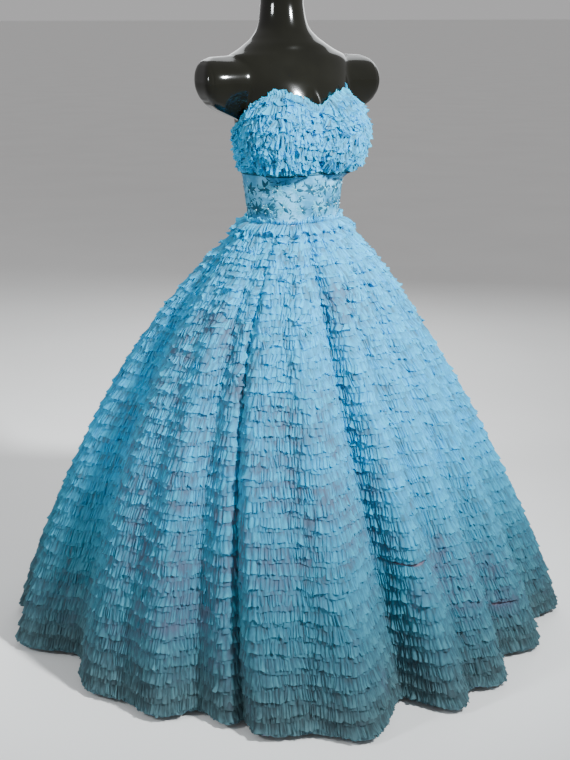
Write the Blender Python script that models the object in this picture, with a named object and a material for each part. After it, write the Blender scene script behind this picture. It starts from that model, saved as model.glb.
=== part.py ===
"""Strapless ball gown covered with rows of gathered net ruffle, on an armless display form.

Metres, +Z up. The gown's front faces -Y. The origin is on the floor, at the middle of the form's base.
Angles round the gown are in degrees: 0 is the front, 90 the wearer's left (+X), 180 the back.
"""

import math
from collections import namedtuple

import bmesh
import bpy

# Driving sizes
HEM_Z = 0.012
WAIST_Z = 1.007
UNDERBUST_Z = 1.119
SEAM_GAP = 0.0003
CLOTH = 0.002
RUFFLE_ROWS = 35
FORM_CLEARANCE = 0.0005

# How far the ruffles stand off the cloth that they are sewn to
SEAM_TUCK = 0.0015
TUCK = 0.0025
SKIRT_FLARE = 0.013
BUST_FLARE = 0.015
EDGE_STEP = 0.0015

# The stand under the form
FORM_BOTTOM_Z = 0.80
POLE_RADIUS = 0.016
BASE_RADIUS = 0.19
BASE_THICKNESS = 0.010

# How far the middle of the body and of the skirt lies from the upright line through the base
Posture = namedtuple("Posture", "z forward")
POSTURE = [
    Posture(HEM_Z, 0.0),
    Posture(0.600, 0.0),
    Posture(0.800, 0.012),
    Posture(0.920, 0.028),
    Posture(WAIST_Z, 0.031),
    Posture(1.220, 0.031),
    Posture(1.300, 0.024),
    Posture(1.360, 0.014),
    Posture(1.405, -0.002),
    Posture(1.450, -0.013),
    Posture(1.535, -0.015),
]
# Sections of the form, from the hip to the top of the neck
Section = namedtuple("Section", "z half_width front back")
TORSO = [
    Section(FORM_BOTTOM_Z, 0.158, 0.112, 0.116),
    Section(0.880, 0.164, 0.114, 0.116),
    Section(0.950, 0.142, 0.110, 0.100),
    Section(WAIST_Z, 0.113, 0.098, 0.076),
    Section(1.060, 0.116, 0.098, 0.078),
    Section(UNDERBUST_Z, 0.125, 0.100, 0.084),
    Section(1.160, 0.130, 0.102, 0.092),
    Section(1.220, 0.141, 0.104, 0.101),
    Section(1.270, 0.146, 0.104, 0.100),
    Section(1.320, 0.152, 0.094, 0.100),
    Section(1.360, 0.158, 0.080, 0.088),
    Section(1.380, 0.150, 0.076, 0.066),
    Section(1.392, 0.126, 0.074, 0.056),
    Section(1.405, 0.104, 0.074, 0.046),
    Section(1.420, 0.082, 0.068, 0.043),
    Section(1.444, 0.060, 0.061, 0.047),
    Section(1.490, 0.050, 0.052, 0.048),
    Section(1.520, 0.049, 0.050, 0.047),
    Section(1.535, 0.044, 0.045, 0.042),
]
# One cup of the bust, mirrored to the other side
CUP_DEG, CUP_WIDTH_DEG = 40.0, 42.0
CUP_Z, CUP_HEIGHT = 1.198, 0.098
CUP_DEPTH = 0.051
CUP_ROUNDING = 0.75
# The flat-ended shoulder stubs, which widen downwards into the sides
Stub = namedtuple("Stub", "z end half_depth")
STUB = [
    Stub(1.240, 0.140, 0.010),
    Stub(1.252, 0.172, 0.017),
    Stub(1.266, 0.204, 0.027),
    Stub(1.285, 0.224, 0.037),
    Stub(1.310, 0.234, 0.046),
    Stub(1.335, 0.234, 0.049),
    Stub(1.354, 0.229, 0.044),
    Stub(1.369, 0.219, 0.032),
    Stub(1.380, 0.196, 0.014),
]
STUB_BLEND = 0.014
# How square the stubs' ends are, seen from above: 2 is an ellipse
STUB_SQUARENESS = 6
# Heights of the form's rings under the waist and over the neckline, and the least room between the latter
FORM_RINGS_BELOW = [FORM_BOTTOM_Z, 0.90, 0.96]
FORM_RINGS_ABOVE = [1.252, 1.266, 1.285, 1.308, 1.335, 1.355, 1.370, 1.381]
FORM_RINGS_ABOVE += [1.392, 1.405, 1.422, 1.446, 1.490, 1.522, 1.535]
RING_ROOM = 0.004

# The skirt's mean radius and how strongly its folds show, from waist to hem
Profile = namedtuple("Profile", "z radius fold")
SKIRT = [
    Profile(WAIST_Z, 0.104, 0.0),
    Profile(0.970, 0.132, 0.08),
    Profile(0.915, 0.182, 0.16),
    Profile(0.840, 0.243, 0.28),
    Profile(0.740, 0.310, 0.38),
    Profile(0.600, 0.393, 0.50),
    Profile(0.450, 0.468, 0.62),
    Profile(0.300, 0.534, 0.75),
    Profile(0.150, 0.592, 0.88),
    Profile(HEM_Z, 0.634, 1.00),
]
# The folds at the hem: where each ridge and the valley after it lie, and how far from the mean radius
Fold = namedtuple("Fold", "ridge_deg ridge valley_deg valley")
FOLDS = [
    Fold(-36.0, 0.030, -26.5, 0.020),
    Fold(-18.0, 0.062, -5.0, -0.072),
    Fold(3.0, 0.034, 9.0, -0.012),
    Fold(16.5, 0.020, 26.0, -0.048),
    Fold(35.5, 0.018, 45.0, -0.018),
    Fold(56.0, 0.058, 67.0, -0.036),
    Fold(76.0, 0.028, 85.0, -0.044),
    Fold(94.0, 0.042, 104.0, -0.030),
    Fold(114.0, 0.026, 122.0, -0.050),
    Fold(132.0, 0.048, 141.0, -0.026),
    Fold(150.0, 0.022, 159.0, -0.052),
    Fold(168.0, 0.046, 177.0, -0.034),
    Fold(186.0, 0.024, 195.0, -0.044),
    Fold(205.0, 0.052, 215.0, -0.030),
    Fold(223.0, 0.030, 231.0, -0.052),
    Fold(240.0, 0.040, 249.0, -0.026),
    Fold(258.0, 0.048, 271.0, -0.064),
    Fold(286.0, 0.008, 294.0, -0.010),
    Fold(302.0, 0.014, 310.0, -0.048),
    Fold(317.0, -0.010, 319.6, -0.036),
]
# Higher up, the folds lie further round towards the wearer's right by this much at the waist
FOLD_TWIST_DEG = 10.0
# A half fold wider than this has a column of points beside its ridge, which rounds the ridge
ROUNDED_FOLD_DEG = 8.6
ROUNDED_FOLD_SHARE = 0.38
# The ruffle rows that have a ring of points on the skirt's inner face: closer where it curves at the waist
INNER_RING_ROWS = [0, 1, 2] + list(range(4, RUFFLE_ROWS, 3))
# The skirt's waist is eased round the form by this much, and its oval is round by this share of the way down
WAIST_EASE = 0.0012
ROUND_AT_DROP = 0.4
# The six gores meet in these valleys, given at the hem
GORE_SEAMS_DEG = [26.0, 85.0, 141.0, 195.0, 249.0, 310.0]
GORE_NAMES = ["side_front_left", "side_back_left", "back", "side_back_right", "side_front_right", "front"]

# The top edge of the bust panels
Neckline = namedtuple("Neckline", "deg z")
NECKLINE = [
    Neckline(0, 1.262),
    Neckline(20, 1.280),
    Neckline(35, 1.290),
    Neckline(50, 1.294),
    Neckline(70, 1.268),
    Neckline(80, 1.241),
    Neckline(90, 1.225),
    Neckline(105, 1.208),
    Neckline(122, 1.194),
    Neckline(150, 1.178),
    Neckline(180, 1.174),
]
BUST_ROWS_FRONT, BUST_ROWS_BACK = 8, 4
BUST_EDGE_SHARE = 0.12
NECK_FRILL, NECK_FLARE = 0.010, 0.010
TORSO_STEP_DEG = 10
# Rings of the bust's inner face, as shares of the way up to the neckline, and of the midriff
BUST_RINGS = (0.0, 0.18, 0.36, 0.54, 0.74, 1.0)
MIDRIFF_STEPS = 2

# The free ruffle at the waist: its heading, its gathers and its edge
WAIST_WAVES = 46
Gather = namedtuple("Gather", "z out swing")
WAIST_RUFFLE = [
    Gather(0.009, 0.0060, 0.0012),
    Gather(0.0005, 0.0008, 0.0004),
    Gather(-0.034, 0.0220, 0.0035),
]
RUFFLE_CLOTH = 0.0015

# The lap over the centre back opening lies just off the midriff
PLACKET_LIFT, PLACKET_CLOTH = 0.0004, 0.0012

# The form's and the stand's edges that turn by more than this stay sharp
SHARP_DEG = 40

COLLECTION = "ruffled_ball_gown"
NET_BLUE = (0.135, 0.47, 0.66, 1)
MIDRIFF_BLUE = (0.50, 0.72, 0.86, 1)
FORM_BLACK = (0.012, 0.012, 0.011, 1)
STEEL = (0.55, 0.56, 0.57, 1)


def ease(t):
    """Half a cosine wave from 0 to 1."""
    return 0.5 - 0.5 * math.cos(math.pi * min(max(t, 0.0), 1.0))


def smooth_row(table, key, at):
    """The columns after the first of a table, at a value of its first column, on a smooth curve."""
    rows = sorted(table, key=lambda row: getattr(row, key))
    keys = [getattr(row, key) for row in rows]
    at = min(max(at, keys[0]), keys[-1])
    i = max(n for n in range(len(keys) - 1) if keys[n] <= at)
    span = keys[i + 1] - keys[i]
    t = (at - keys[i]) / span

    def slope(n, column):
        low, high = max(n - 1, 0), min(n + 1, len(rows) - 1)
        return (rows[high][column] - rows[low][column]) / (keys[high] - keys[low]) * span

    values = []
    for column in range(1, len(rows[0])):
        p, q = rows[i][column], rows[i + 1][column]
        m, n = slope(i, column), slope(i + 1, column)
        values.append(
            (2 * t**3 - 3 * t**2 + 1) * p
            + (t**3 - 2 * t**2 + t) * m
            + (3 * t**2 - 2 * t**3) * q
            + (t**3 - t**2) * n
        )
    return values


def wrapped(deg):
    """The same angle between -180 and 180."""
    return (deg + 180.0) % 360.0 - 180.0


def oval(deg, half_width, front, back):
    """Distance from the axis to an oval whose front and back are half ellipses."""
    side, ahead = math.sin(math.radians(deg)), math.cos(math.radians(deg))
    return 1 / math.hypot(side / half_width, ahead / (front if ahead > 0 else back))


def cup(deg, z):
    """How far a cup of the bust stands out."""
    around = (abs(wrapped(deg)) - CUP_DEG) / CUP_WIDTH_DEG
    height = (z - CUP_Z) / CUP_HEIGHT
    return CUP_DEPTH * max(1 - around**2 - height**2, 0.0) ** CUP_ROUNDING


def stub(deg, z):
    """Distance from the axis to the end or the side of a shoulder stub, or 0 above and below it."""
    if not STUB[0].z <= z <= STUB[-1].z:
        return 0.0
    end, half_depth = smooth_row(STUB, "z", z)
    side, ahead = abs(math.sin(math.radians(deg))), abs(math.cos(math.radians(deg)))
    power = STUB_SQUARENESS
    return ((side / end) ** power + (ahead / half_depth) ** power) ** (-1 / power)


def form_radius(deg, z):
    """Distance from the axis to the form's surface."""
    body = oval(deg, *smooth_row(TORSO, "z", z)) + cup(deg, z)
    arm = stub(deg, z)
    reach = max(STUB_BLEND - abs(body - arm), 0.0) / STUB_BLEND
    return max(body, arm) + reach * reach * STUB_BLEND / 4


def fold(deg):
    """The folds' distance from the mean radius at the hem."""
    stops = [(f.ridge_deg, f.ridge) for f in FOLDS] + [(f.valley_deg, f.valley) for f in FOLDS]
    stops.sort()
    stops = [(stops[-1][0] - 360, stops[-1][1])] + stops + [(stops[0][0] + 360, stops[0][1])]
    deg = (deg - stops[0][0]) % 360 + stops[0][0]
    for (a, low), (b, high) in zip(stops, stops[1:]):
        if a <= deg <= b:
            return low + (high - low) * ease((deg - a) / (b - a))
    return 0.0


def skirt_turn(z):
    """How far round from their places at the hem the folds lie at a height."""
    return FOLD_TWIST_DEG * (z - HEM_Z) / (WAIST_Z - HEM_Z)


def skirt_radius(deg, z):
    """Distance from the axis to the cloth that the skirt's ruffles are sewn to."""
    mean, strength = smooth_row(SKIRT, "z", z)
    drop = (WAIST_Z - z) / (WAIST_Z - HEM_Z)
    waist = oval(deg, *smooth_row(TORSO, "z", WAIST_Z)) - SKIRT[0].radius + WAIST_EASE + CLOTH
    return mean + waist * (1 - ease(drop / ROUND_AT_DROP)) + strength * fold(deg + skirt_turn(z))


def at(deg, radius, z):
    """A point round the body's middle at a height."""
    (forward,) = smooth_row(POSTURE, "z", z)
    return (radius * math.sin(math.radians(deg)), -radius * math.cos(math.radians(deg)) - forward, z)


def beside_seam(point, side):
    """A point at a seam, moved half the seam gap away from it, round the axis."""
    x, y, z = point
    shift = side * SEAM_GAP / 2 / math.hypot(x, y)
    return (x - y * shift, y + x * shift, z)


def material(name, color, roughness, metallic=0.0):
    made = bpy.data.materials.new(name)
    made.use_nodes = True
    shader = made.node_tree.nodes["Principled BSDF"]
    shader.inputs["Base Color"].default_value = color
    shader.inputs["Roughness"].default_value = roughness
    shader.inputs["Metallic"].default_value = metallic
    return made


def add_object(name, mesh_data, finish):
    mesh = bpy.data.meshes.new(name)
    mesh_data.to_mesh(mesh)
    mesh_data.free()
    mesh.materials.append(finish)
    made = bpy.data.objects.new(name, mesh)
    bpy.data.collections[COLLECTION].objects.link(made)
    return made


def close_end(made, outer, inner, turned):
    """The end of a wall, in triangles that are the same for the two panels that meet at a seam.

    The flared edges of the ruffles are closed first, and then the strip between them and the inner column.
    """
    triangles = []
    spine = [outer[0]]
    for above, tip, below in zip(outer, outer[1:], outer[2:]):
        if tip.co.xy.length > (above.co.xy.length + below.co.xy.length) / 2 + TUCK:
            triangles.append((above, tip, below))
        else:
            spine.append(tip)
    spine.append(outer[-1])
    i, j = 0, 0
    while i < len(spine) - 1 or j < len(inner) - 1:
        outer_left, inner_left = i < len(spine) - 1, j < len(inner) - 1
        if not inner_left or (outer_left and spine[i + 1].co.z >= inner[j + 1].co.z):
            triangles.append((spine[i], spine[i + 1], inner[j]))
            i += 1
        else:
            triangles.append((spine[i], inner[j + 1], inner[j]))
            j += 1
    for corners in triangles:
        made.faces.new(corners[::-1] if turned else corners)


def halves(upper, lower, i, j):
    """The two triangles between columns i and j of two rings, split the same way on every layer."""
    return (upper[i], lower[i], upper[j]), (lower[i], lower[j], upper[j])


def wall(name, outer, inner, finish, closed=False):
    """A cloth wall between an outer and an inner grid of points, rows from top to bottom.

    Both grids have the same number of points in a row. A closed wall runs all the way round.
    """
    made = bmesh.new()
    grids = [[[made.verts.new(p) for p in row] for row in grid] for grid in (outer, inner)]
    count = len(outer[0])
    steps = range(count if closed else count - 1)
    for grid, outward in zip(grids, (True, False)):
        for upper, lower in zip(grid, grid[1:]):
            for i in steps:
                for corners in halves(upper, lower, i, (i + 1) % count):
                    made.faces.new(corners if outward else corners[::-1])
    for i in steps:
        j = (i + 1) % count
        made.faces.new((grids[1][0][i], grids[0][0][i], grids[0][0][j], grids[1][0][j]))
        made.faces.new((grids[0][-1][i], grids[1][-1][i], grids[1][-1][j], grids[0][-1][j]))
    if not closed:
        close_end(made, [row[0] for row in grids[0]], [row[0] for row in grids[1]], True)
        close_end(made, [row[-1] for row in grids[0]], [row[-1] for row in grids[1]], False)
    return add_object(name, made, finish)


def columns(start, end, inside):
    """The angles of a panel's columns: its two seams, and those in between."""
    return [start] + sorted(d for d in inside if start + 0.01 < d < end - 0.01) + [end]


def panel_rows(angles, levels, place):
    """A panel's grid, its first and last columns kept clear of the seams."""
    rows = []
    for level in levels:
        row = [place(deg, level) for deg in angles]
        row[0] = beside_seam(row[0], 1)
        row[-1] = beside_seam(row[-1], -1)
        rows.append(row)
    return rows


def torso_columns(start, end):
    return columns(start, end, range(-180, 541, TORSO_STEP_DEG))


def skirt_levels():
    """Heights of the ruffle rows, evenly spaced down the cloth from the waist seam to the hem."""
    fine = 2000
    zs = [WAIST_Z - SEAM_GAP - (WAIST_Z - SEAM_GAP - HEM_Z) * i / fine for i in range(fine + 1)]
    radii = [smooth_row(SKIRT, "z", z)[0] for z in zs]
    lengths = [0.0]
    for i in range(fine):
        lengths.append(lengths[-1] + math.hypot(zs[i + 1] - zs[i], radii[i + 1] - radii[i]))
    wanted = [lengths[-1] * n / RUFFLE_ROWS for n in range(RUFFLE_ROWS + 1)]
    levels, i = [], 0
    for length in wanted:
        while i < fine and lengths[i + 1] < length:
            i += 1
        levels.append(zs[min(i + 1, fine)] if length else zs[0])
    return levels


def skirt_slant(z):
    """The outward normal of the skirt's mean profile, as (outward, up)."""
    near = 0.01
    high, low = min(z + near, WAIST_Z), max(z - near, HEM_Z)
    run = smooth_row(SKIRT, "z", low)[0] - smooth_row(SKIRT, "z", high)[0]
    fall = high - low
    length = math.hypot(run, fall)
    return fall / length, run / length


def gore_outer_levels(levels):
    """(height, stand-off) of the outer rings: each ruffle is close at its gathers and flares to its edge."""
    rings = [(levels[0], SEAM_TUCK)]
    for upper, lower in zip(levels[1:], levels[2:]):
        rings.append((upper - EDGE_STEP, TUCK))
        rings.append((lower + EDGE_STEP, SKIRT_FLARE))
    rings[-1] = (levels[-1], SKIRT_FLARE)
    return rings


def skirt_point(deg, level):
    """A point on the skirt, moved off the cloth along the profile's normal. The angle is that at the hem."""
    z, off = level
    out, up = skirt_slant(z)
    lift = min(off * up, WAIST_Z - SEAM_GAP - z)
    deg -= skirt_turn(z)
    return at(deg, skirt_radius(deg, z) + off * out, max(z + lift, HEM_Z))


def fold_columns():
    """The ridges and valleys at the hem, and a column beside each ridge that is broad enough to be round."""
    angles = []
    for f, after in zip(FOLDS, FOLDS[1:] + [FOLDS[0]]):
        ridge_after = after.ridge_deg + (360 if after is FOLDS[0] else 0)
        angles += [f.ridge_deg, f.valley_deg]
        for ridge, valley in ((f.ridge_deg, f.valley_deg), (ridge_after, f.valley_deg)):
            if abs(valley - ridge) > ROUNDED_FOLD_DEG:
                angles.append(ridge + (valley - ridge) * ROUNDED_FOLD_SHARE)
    return angles + [d + 360 for d in angles]


def build_skirt(finish):
    levels = skirt_levels()
    outer = gore_outer_levels(levels)
    inner = [(levels[row], -CLOTH) for row in INNER_RING_ROWS + [RUFFLE_ROWS]]
    ends = GORE_SEAMS_DEG[1:] + [GORE_SEAMS_DEG[0] + 360]
    for name, start, end in zip(GORE_NAMES, GORE_SEAMS_DEG, ends):
        angles = columns(start, end, fold_columns())
        wall(
            "skirt_" + name,
            panel_rows(angles, outer, skirt_point),
            panel_rows(angles, inner, skirt_point),
            finish,
        )


def neckline_z(deg):
    return smooth_row(NECKLINE, "deg", abs(wrapped(deg)))[0]


def bust_z(deg, share):
    """The height a share of the way from the underbust seam up to the neckline."""
    return UNDERBUST_Z + (neckline_z(deg) - UNDERBUST_Z) * share


def bust_point(deg, level):
    """A point on the bust: level is a share of the way up, a distance off the form and a rise."""
    share, off, rise = level
    z = bust_z(deg, share)
    return at(deg, form_radius(deg, z) + FORM_CLEARANCE + off, z + rise)


def build_bust(name, start, end, rows, finish):
    """A bust panel with its rows of ruffle."""
    angles = torso_columns(start, end)
    outer = [(1.0, CLOTH + NECK_FLARE, NECK_FRILL)]
    for row in range(rows - 1, -1, -1):
        outer.append(((row + BUST_EDGE_SHARE) / rows, CLOTH + BUST_FLARE, 0.0))
        outer.append((row / rows, CLOTH + TUCK, 0.0))
    inner = [(share, 0.0, 0.0) for share in reversed(BUST_RINGS)]
    outer[-1] = (0.0, CLOTH + TUCK, SEAM_GAP / 2)
    inner[-1] = (0.0, 0.0, SEAM_GAP / 2)
    wall(name, panel_rows(angles, outer, bust_point), panel_rows(angles, inner, bust_point), finish)


def midriff_heights():
    """The heights of the midriff's rings, from its top down to the waist."""
    return [UNDERBUST_Z + (WAIST_Z - UNDERBUST_Z) * i / MIDRIFF_STEPS for i in range(MIDRIFF_STEPS + 1)]


def midriff_point(deg, level):
    """A point on the midriff. The top edge is kept clear of the bust's seam."""
    z, off = level
    gap = SEAM_GAP / 2 if z == UNDERBUST_Z else 0.0
    return at(deg, form_radius(deg, z) + FORM_CLEARANCE + off, z - gap)


def build_midriff(name, start, end, finish):
    angles = torso_columns(start, end)
    grids = [
        panel_rows(angles, [(z, off) for z in midriff_heights()], midriff_point) for off in (CLOTH, 0.0)
    ]
    wall(name, *grids, finish)


def build_placket(finish):
    """The lap over the centre back opening, made from the midriff's points and moved out."""
    angles = [180 - TORSO_STEP_DEG, 180, 180 + TORSO_STEP_DEG]
    offs = (CLOTH + PLACKET_LIFT + PLACKET_CLOTH, CLOTH + PLACKET_LIFT)
    grids = [[[midriff_point(deg, (z, off)) for deg in angles] for z in midriff_heights()] for off in offs]
    wall("back_placket", *grids, finish)


def build_waist_ruffle(finish):
    """The first ruffle, which stands free round the waist in small waves."""
    count = 2 * WAIST_WAVES
    grids = []
    for thick in (RUFFLE_CLOTH, 0.0):
        rows = []
        for gather in WAIST_RUFFLE:
            z = WAIST_Z + gather.z
            row = []
            for i in range(count):
                deg = 360 * i / count
                wave = gather.swing * (1 if i % 2 else -1)
                seat = skirt_radius(deg, min(z, WAIST_Z)) + SEAM_TUCK
                row.append(at(deg, seat + gather.out + wave + thick, z))
            rows.append(row)
        grids.append(rows)
    wall("waist_ruffle", *grids, finish, closed=True)


def form_height(deg, ring):
    """The height of a ring: level, or under the bust parallel to its rings, or just above the neckline."""
    kind, value = ring
    if kind == "bust":
        return bust_z(deg, value)
    if kind == "above":
        room = RING_ROOM * (FORM_RINGS_ABOVE.index(value) + 1)
        return max(value, neckline_z(deg) + room)
    return value


def build_form(finish):
    """The form's torso, from its flat underside to the top of the neck."""
    angles = range(0, 360, TORSO_STEP_DEG)
    rings = [("level", z) for z in FORM_RINGS_BELOW + midriff_heights()[::-1]]
    rings += [("bust", share) for share in BUST_RINGS[1:]]
    rings += [("above", z) for z in FORM_RINGS_ABOVE]
    made = bmesh.new()
    rows = []
    for ring in rings:
        places = [(deg, form_height(deg, ring)) for deg in angles]
        rows.append([made.verts.new(at(deg, form_radius(deg, z), z)) for deg, z in places])
    for lower, upper in zip(rows, rows[1:]):
        for i in range(len(angles)):
            for corners in halves(upper, lower, i, (i + 1) % len(angles)):
                made.faces.new(corners)
    made.faces.new(rows[0][::-1])
    made.faces.new(rows[-1])
    torso = add_object("form_torso", made, finish)
    torso.data.shade_smooth()
    torso.data.set_sharp_from_angle(angle=math.radians(SHARP_DEG))


def cylinder(name, radius, bottom, top, finish, sides):
    made = bmesh.new()
    tall = top - bottom
    bmesh.ops.create_cone(made, cap_ends=True, segments=sides, radius1=radius, radius2=radius, depth=tall)
    placed = add_object(name, made, finish)
    placed.location = (0, 0, (top + bottom) / 2)
    placed.data.shade_smooth()
    placed.data.set_sharp_from_angle(angle=math.radians(SHARP_DEG))


def main():
    for old in list(bpy.data.objects):
        bpy.data.objects.remove(old)
    gown = bpy.data.collections.new(COLLECTION)
    bpy.context.scene.collection.children.link(gown)
    net = material("net_ruffle", NET_BLUE, roughness=0.7)
    satin = material("midriff_cloth", MIDRIFF_BLUE, roughness=0.55)
    gloss = material("form_gloss", FORM_BLACK, roughness=0.12)
    steel = material("stand_steel", STEEL, roughness=0.3, metallic=1.0)

    build_form(gloss)
    cylinder("form_pole", POLE_RADIUS, BASE_THICKNESS + SEAM_GAP, FORM_BOTTOM_Z - SEAM_GAP, steel, sides=24)
    cylinder("form_base", BASE_RADIUS, 0.0, BASE_THICKNESS, steel, sides=48)

    build_skirt(net)
    build_waist_ruffle(net)
    build_midriff("midriff_front", -90, 90, satin)
    build_midriff("midriff_back_left", 90, 180, satin)
    build_midriff("midriff_back_right", 180, 270, satin)
    build_bust("bust_front", -90, 90, BUST_ROWS_FRONT, net)
    build_bust("bust_back_left", 90, 180, BUST_ROWS_BACK, net)
    build_bust("bust_back_right", 180, 270, BUST_ROWS_BACK, net)
    build_placket(satin)


main()
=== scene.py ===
"""Looks of the strapless ball gown with gathered net ruffles, on its armless display form.

Metres, +Z up, the gown's front faces -Y. Angles round the gown are in degrees: 0 is the front, 90 the
wearer's left (+X), 180 the back. The surfaces repeat the part's own sizes, so each piece lies on its solid.
"""

import math
from collections import namedtuple
from functools import partial

import bpy
import numpy as np
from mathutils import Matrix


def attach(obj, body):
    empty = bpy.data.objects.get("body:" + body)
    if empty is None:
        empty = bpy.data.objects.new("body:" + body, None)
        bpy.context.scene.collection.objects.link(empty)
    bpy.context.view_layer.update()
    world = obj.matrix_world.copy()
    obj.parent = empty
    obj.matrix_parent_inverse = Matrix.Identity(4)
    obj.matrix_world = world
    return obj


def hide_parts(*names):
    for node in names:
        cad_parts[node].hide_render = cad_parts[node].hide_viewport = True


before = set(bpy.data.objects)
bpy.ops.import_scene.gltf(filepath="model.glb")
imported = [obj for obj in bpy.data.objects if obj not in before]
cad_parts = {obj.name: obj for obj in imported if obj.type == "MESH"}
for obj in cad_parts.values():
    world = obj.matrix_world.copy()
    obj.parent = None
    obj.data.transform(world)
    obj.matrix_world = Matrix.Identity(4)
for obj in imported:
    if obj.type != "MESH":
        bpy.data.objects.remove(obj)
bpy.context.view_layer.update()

# Driving sizes, as in the part
HEM_Z = 0.012
WAIST_Z = 1.007
UNDERBUST_Z = 1.119
CLOTH = 0.002
RUFFLE_ROWS = 35
FORM_CLEARANCE = 0.0005
FORM_BOTTOM_Z = 0.8
FORM_TOP_Z = 1.535

# How far forward the body's middle stands at each height
POSTURE = [
    (HEM_Z, 0.0),
    (0.6, 0.0),
    (0.8, 0.012),
    (0.92, 0.028),
    (WAIST_Z, 0.031),
    (1.22, 0.031),
    (1.3, 0.024),
    (1.36, 0.014),
    (1.405, -0.002),
    (1.45, -0.013),
    (FORM_TOP_Z, -0.015),
]
# The torso's half width, front and back at each height
TORSO = [
    (FORM_BOTTOM_Z, 0.158, 0.112, 0.116),
    (0.88, 0.164, 0.114, 0.116),
    (0.95, 0.142, 0.11, 0.1),
    (WAIST_Z, 0.113, 0.098, 0.076),
    (1.06, 0.116, 0.098, 0.078),
    (UNDERBUST_Z, 0.125, 0.1, 0.084),
    (1.16, 0.13, 0.102, 0.092),
    (1.22, 0.141, 0.104, 0.101),
    (1.27, 0.146, 0.104, 0.1),
    (1.32, 0.152, 0.094, 0.1),
    (1.36, 0.158, 0.08, 0.088),
    (1.38, 0.15, 0.076, 0.066),
    (1.392, 0.126, 0.074, 0.056),
    (1.405, 0.104, 0.074, 0.046),
    (1.42, 0.082, 0.068, 0.043),
    (1.444, 0.06, 0.061, 0.047),
    (1.49, 0.05, 0.052, 0.048),
    (1.52, 0.049, 0.05, 0.047),
    (FORM_TOP_Z, 0.044, 0.045, 0.042),
]
CUP_DEG, CUP_WIDTH_DEG = 40.0, 42.0
CUP_Z, CUP_HEIGHT = 1.198, 0.098
CUP_DEPTH, CUP_ROUNDING = 0.051, 0.75
# The shoulder ends' reach and half depth at each height
STUB = [
    (1.24, 0.14, 0.01),
    (1.252, 0.172, 0.017),
    (1.266, 0.204, 0.027),
    (1.285, 0.224, 0.037),
    (1.31, 0.234, 0.046),
    (1.335, 0.234, 0.049),
    (1.354, 0.229, 0.044),
    (1.369, 0.219, 0.032),
    (1.38, 0.196, 0.014),
]
STUB_BLEND = 0.014
STUB_SQUARENESS = 6
# The skirt's mean radius and the strength of its folds at each height
SKIRT = [
    (WAIST_Z, 0.104, 0.0),
    (0.97, 0.132, 0.08),
    (0.915, 0.182, 0.16),
    (0.84, 0.243, 0.28),
    (0.74, 0.31, 0.38),
    (0.6, 0.393, 0.5),
    (0.45, 0.468, 0.62),
    (0.3, 0.534, 0.75),
    (0.15, 0.592, 0.88),
    (HEM_Z, 0.634, 1.00),
]
# Angle and size of each ridge and of the valley after it
FOLDS = [
    (-36.0, 0.03, -26.5, 0.02),
    (-18.0, 0.062, -5.0, -0.072),
    (3.0, 0.034, 9.0, -0.012),
    (16.5, 0.02, 26.0, -0.048),
    (35.5, 0.018, 45.0, -0.018),
    (56.0, 0.058, 67.0, -0.036),
    (76.0, 0.028, 85.0, -0.044),
    (94.0, 0.042, 104.0, -0.03),
    (114.0, 0.026, 122.0, -0.05),
    (132.0, 0.048, 141.0, -0.026),
    (150.0, 0.022, 159.0, -0.052),
    (168.0, 0.046, 177.0, -0.034),
    (186.0, 0.024, 195.0, -0.044),
    (205.0, 0.052, 215.0, -0.03),
    (223.0, 0.03, 231.0, -0.052),
    (240.0, 0.04, 249.0, -0.026),
    (258.0, 0.048, 271.0, -0.064),
    (286.0, 0.008, 294.0, -0.01),
    (302.0, 0.014, 310.0, -0.048),
    (317.0, -0.01, 319.6, -0.036),
]
FOLD_TWIST_DEG = 10.0
WAIST_EASE = 0.0012
ROUND_AT_DROP = 0.4
GORE_SEAMS_DEG = [26.0, 85.0, 141.0, 195.0, 249.0, 310.0]
GORE_NAMES = ["side_front_left", "side_back_left", "back", "side_back_right", "side_front_right", "front"]
# The bust's top edge: angle either side of the front, and height
NECKLINE = [
    (0, 1.262),
    (20, 1.28),
    (35, 1.29),
    (50, 1.294),
    (70, 1.268),
    (80, 1.241),
    (90, 1.225),
    (105, 1.208),
    (122, 1.194),
    (150, 1.178),
    (180, 1.174),
]


def smooth(table):
    """A function that reads a table's later columns at any values of its first one, on a smooth curve."""
    rows = np.array(sorted(tuple(row) for row in table), float)
    keys, values = rows[:, 0], rows[:, 1:]
    index = np.arange(len(keys))
    low, high = np.maximum(index - 1, 0), np.minimum(index + 1, len(keys) - 1)
    slopes = (values[high] - values[low]) / (keys[high] - keys[low])[:, None]

    def read(at):
        at = np.clip(at, keys[0], keys[-1])
        i = np.clip(np.searchsorted(keys, at, side="right") - 1, 0, len(keys) - 2)
        span = (keys[i + 1] - keys[i])[..., None]
        t = (at - keys[i])[..., None] / span
        made = (
            (2 * t**3 - 3 * t**2 + 1) * values[i]
            + (t**3 - 2 * t**2 + t) * slopes[i] * span
            + (3 * t**2 - 2 * t**3) * values[i + 1]
            + (t**3 - t**2) * slopes[i + 1] * span
        )
        return np.moveaxis(made, -1, 0)

    return read


posture, torso, stub_sizes = smooth(POSTURE), smooth(TORSO), smooth(STUB)
skirt_sizes, neckline = smooth(SKIRT), smooth(NECKLINE)
fold_stops = sorted(stop for row in FOLDS for stop in (row[:2], row[2:]))
fold_before = (fold_stops[-1][0] - 360, fold_stops[-1][1])
fold_after = (fold_stops[0][0] + 360, fold_stops[0][1])
fold_stops = np.array([fold_before, *fold_stops, fold_after])


def ease(t):
    """Half a cosine wave from 0 to 1."""
    return 0.5 - 0.5 * np.cos(np.pi * np.clip(t, 0.0, 1.0))


def wrapped(deg):
    """The same angle between -180 and 180."""
    return (deg + 180.0) % 360.0 - 180.0


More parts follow.
